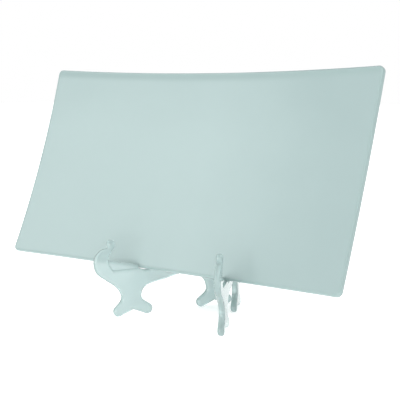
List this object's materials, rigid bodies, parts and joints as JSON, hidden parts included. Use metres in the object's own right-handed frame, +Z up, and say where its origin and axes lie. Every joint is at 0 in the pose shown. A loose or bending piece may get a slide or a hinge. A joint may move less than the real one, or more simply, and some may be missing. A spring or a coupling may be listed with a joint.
{
  "type": "glass guard panel on folding stand",
  "caption": "Dished frosted glass guard panel leaning on a clear two-part folding stand with swan-neck hooks and fishtail feet.",
  "frame": {"origin": "on the table under the centre of the whole object's box", "axes": "+Z up, +X along the panel's width to the right of a person facing its front, -Y to the front"},
  "size_m": [0.3818, 0.1313, 0.2304],
  "materials": {
    "frosted_glass": "satin",
    "clear_plastic": "polished",
    "pin_plastic": "polished"
  },
  "bodies": {
    "left_stand": {"left_stand_half": "clear_plastic", "hinge_pin": "pin_plastic"},
    "right_stand": {"right_stand_half": "clear_plastic"},
    "panel": {"glass_panel": "frosted_glass"}
  },
  "joints": [
    {"name": "panel_lift", "type": "slide", "parent": "left_stand", "child": "panel", "axis": [0, 0, 1], "range_m": [0, 0.15]},
    {"name": "stand_fold", "type": "hinge", "parent": "left_stand", "child": "right_stand", "pos_m": [0.0235, 0.0625, 0.064], "axis": [0, 0, 1], "range_deg": [-55, 0]}
  ],
  "couplings": [
    {"joint": "stand_fold", "follows": "panel_lift", "rad_per_m": -6.39}
  ]
}
